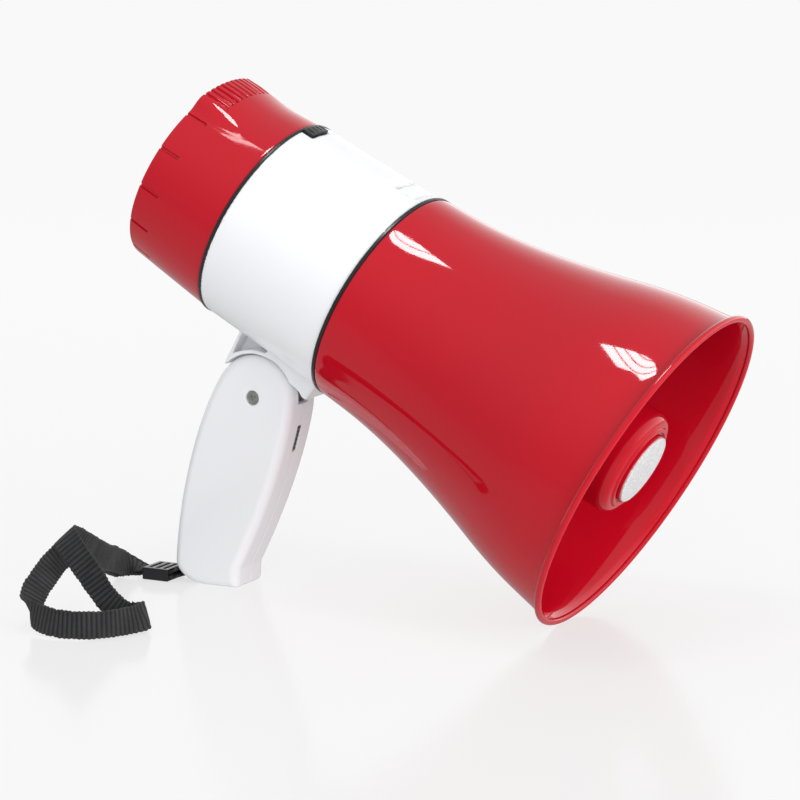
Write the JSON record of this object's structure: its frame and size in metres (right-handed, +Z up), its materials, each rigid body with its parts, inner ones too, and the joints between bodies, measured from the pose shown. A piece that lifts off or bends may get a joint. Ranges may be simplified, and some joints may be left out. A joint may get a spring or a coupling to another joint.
{
  "type": "handheld megaphone",
  "caption": "Handheld megaphone with a flared horn, a battery body, a twist-off rear cap with controls, a folding pistol handle with a talk key, and a wrist strap.",
  "frame": {"origin": "middle of the flat on the foot of the handle, where the megaphone stands", "axes": "+X is the side the mouth faces, +Z is up, and the plane y = 0 halves the horn and the handle"},
  "size_m": [0.2943, 0.2043, 0.2286],
  "materials": {
    "red_plastic": "gloss moulded plastic",
    "white_plastic": "gloss moulded plastic",
    "black_plastic": "satin moulded plastic",
    "dark_plastic": "matte moulded plastic",
    "grey_plastic": "satin moulded plastic",
    "button_red": "satin moulded plastic",
    "silver_disc": "fine sparkle",
    "steel": "plain",
    "zinc_steel": "zinc plated",
    "brass": "turned",
    "ferrite": "ground",
    "film": "pressed sheet",
    "copper": "wound enamelled wire",
    "wire": "insulation",
    "cell_jacket": "printed-free sleeve",
    "board": "solder resist",
    "capsule": "satin can",
    "foam": "soft foam",
    "webbing": "ribbed woven webbing"
  },
  "bodies": {
    "horn": {"bell": "red_plastic", "front_ring": "black_plastic", "body_shell": "white_plastic", "rear_ring": "black_plastic", "throat_tube": "dark_plastic", "reflector": "red_plastic", "reflector_screw": "steel", "badge_disc": "silver_disc", "bell_screws": "steel", "driver_housing": "dark_plastic", "driver_screws": "steel", "top_plate": "steel", "magnet": "ferrite", "yoke": "steel", "driver_leads": "wire", "battery_holder": "black_plastic", "c_cells": "cell_jacket", "cell_contacts": "steel", "cell_springs": "steel", "battery_lid": "black_plastic", "lid_screw": "steel", "latch_spring": "steel"},
    "moving_coil": {"diaphragm": "film", "voice_coil": "copper"},
    "latch": {"latch_button": "black_plastic"},
    "cap": {"rear_cap": "red_plastic", "control_panel": "dark_plastic", "mic_grille": "black_plastic", "mic_seal": "foam", "microphone": "capsule", "control_board": "board", "board_screws": "steel", "potentiometer": "capsule", "slide_switch": "capsule", "tact_switches": "dark_plastic"},
    "volume_dial": {"volume_knob": "grey_plastic"},
    "mode_key": {"mode_slider": "grey_plastic"},
    "record_key": {"record_button": "button_red"},
    "play_key": {"play_button": "grey_plastic"},
    "handle": {"handle_left": "white_plastic", "handle_right": "white_plastic", "pivot_bolt": "zinc_steel", "pivot_nut": "zinc_steel", "pivot_bush": "brass", "handle_screws": "steel", "talk_spring": "steel", "talk_switch": "dark_plastic", "strap_pin": "steel", "wrist_strap": "webbing"},
    "talk_key": {"talk_button": "black_plastic"},
    "strap_adjuster": {"strap_slider": "black_plastic"}
  },
  "joints": [
    {"name": "handle_fold", "type": "hinge", "parent": "horn", "child": "handle", "pos_m": [0.018, 0, 0.08818], "axis": [0, -1, 0], "range_deg": [0, 50]},
    {"name": "talk_press", "type": "slide", "parent": "handle", "child": "talk_key", "axis": [-0.9598, 0, 0.2807], "range_m": [0, 0.002], "deforming": ["talk_spring"]},
    {"name": "cap_twist", "type": "hinge", "parent": "horn", "child": "cap", "pos_m": [-0.01802, 0, 0.1874], "axis": [0.8788, 0, -0.4772], "range_deg": [0, 30]},
    {"name": "latch_press", "type": "slide", "parent": "horn", "child": "latch", "axis": [-0.4772, 0, -0.8788], "range_m": [0, 0.001], "deforming": ["latch_spring"]},
    {"name": "volume_turn", "type": "hinge", "parent": "cap", "child": "volume_dial", "pos_m": [-0.02327, 0.019, 0.17773], "axis": [0.8788, 0, -0.4772], "range_deg": [0, 270]},
    {"name": "mode_slide", "type": "slide", "parent": "cap", "child": "mode_key", "axis": [0.4772, 0, 0.8788], "range_m": [0, 0.0072]},
    {"name": "record_press", "type": "slide", "parent": "cap", "child": "record_key", "axis": [0.8788, 0, -0.4772], "range_m": [0, 0.001]},
    {"name": "play_press", "type": "slide", "parent": "cap", "child": "play_key", "axis": [0.8788, 0, -0.4772], "range_m": [0, 0.001]},
    {"name": "coil_travel", "type": "slide", "parent": "horn", "child": "moving_coil", "axis": [0.8788, 0, -0.4772], "range_m": [-0.0004, 0.0004]},
    {"name": "slider_slide", "type": "slide", "parent": "handle", "child": "strap_adjuster", "axis": [-1, 0, 0], "range_m": [0, 0.003]}
  ]
}
